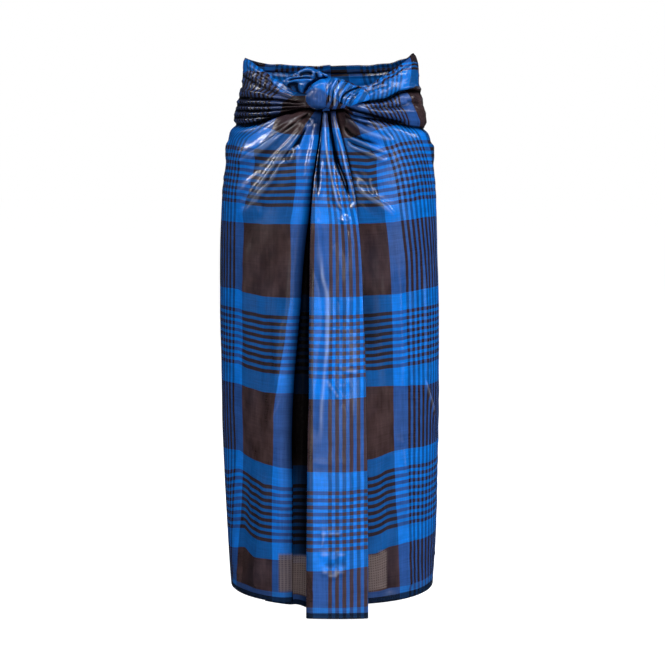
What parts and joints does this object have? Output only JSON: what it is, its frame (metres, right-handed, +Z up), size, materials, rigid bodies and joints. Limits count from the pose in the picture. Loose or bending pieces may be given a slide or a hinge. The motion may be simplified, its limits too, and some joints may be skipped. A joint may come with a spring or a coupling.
{
  "type": "longyi sarong",
  "caption": "Worn longyi: an open tube of checked cotton with a hanging front pleat, gathered to a twisted knot at the waist.",
  "frame": {"origin": "middle of the waist, level with the knot, where the wearer's waist holds the cloth", "axes": "+Z up along the garment, front with the knot and pleat towards -Y, +X to the right of a viewer who faces the front"},
  "size_m": [0.419, 0.3783, 1.0292],
  "materials": {
    "check_body": "calendered cotton, blue and dark brown check",
    "check_pleat": "calendered cotton, blue and dark brown check",
    "check_waist": "calendered cotton, blue and dark brown check, gathered",
    "check_knot": "calendered cotton, blue and dark brown check, twisted"
  },
  "bodies": {
    "root": {"skirt_left": "check_body", "skirt_right": "check_body", "front_pleat": "check_pleat", "waist_left": "check_waist", "waist_right": "check_waist", "knot_band": "check_knot", "knot_lobe": "check_knot", "knot_tuck": "check_knot"}
  },
  "joints": []
}
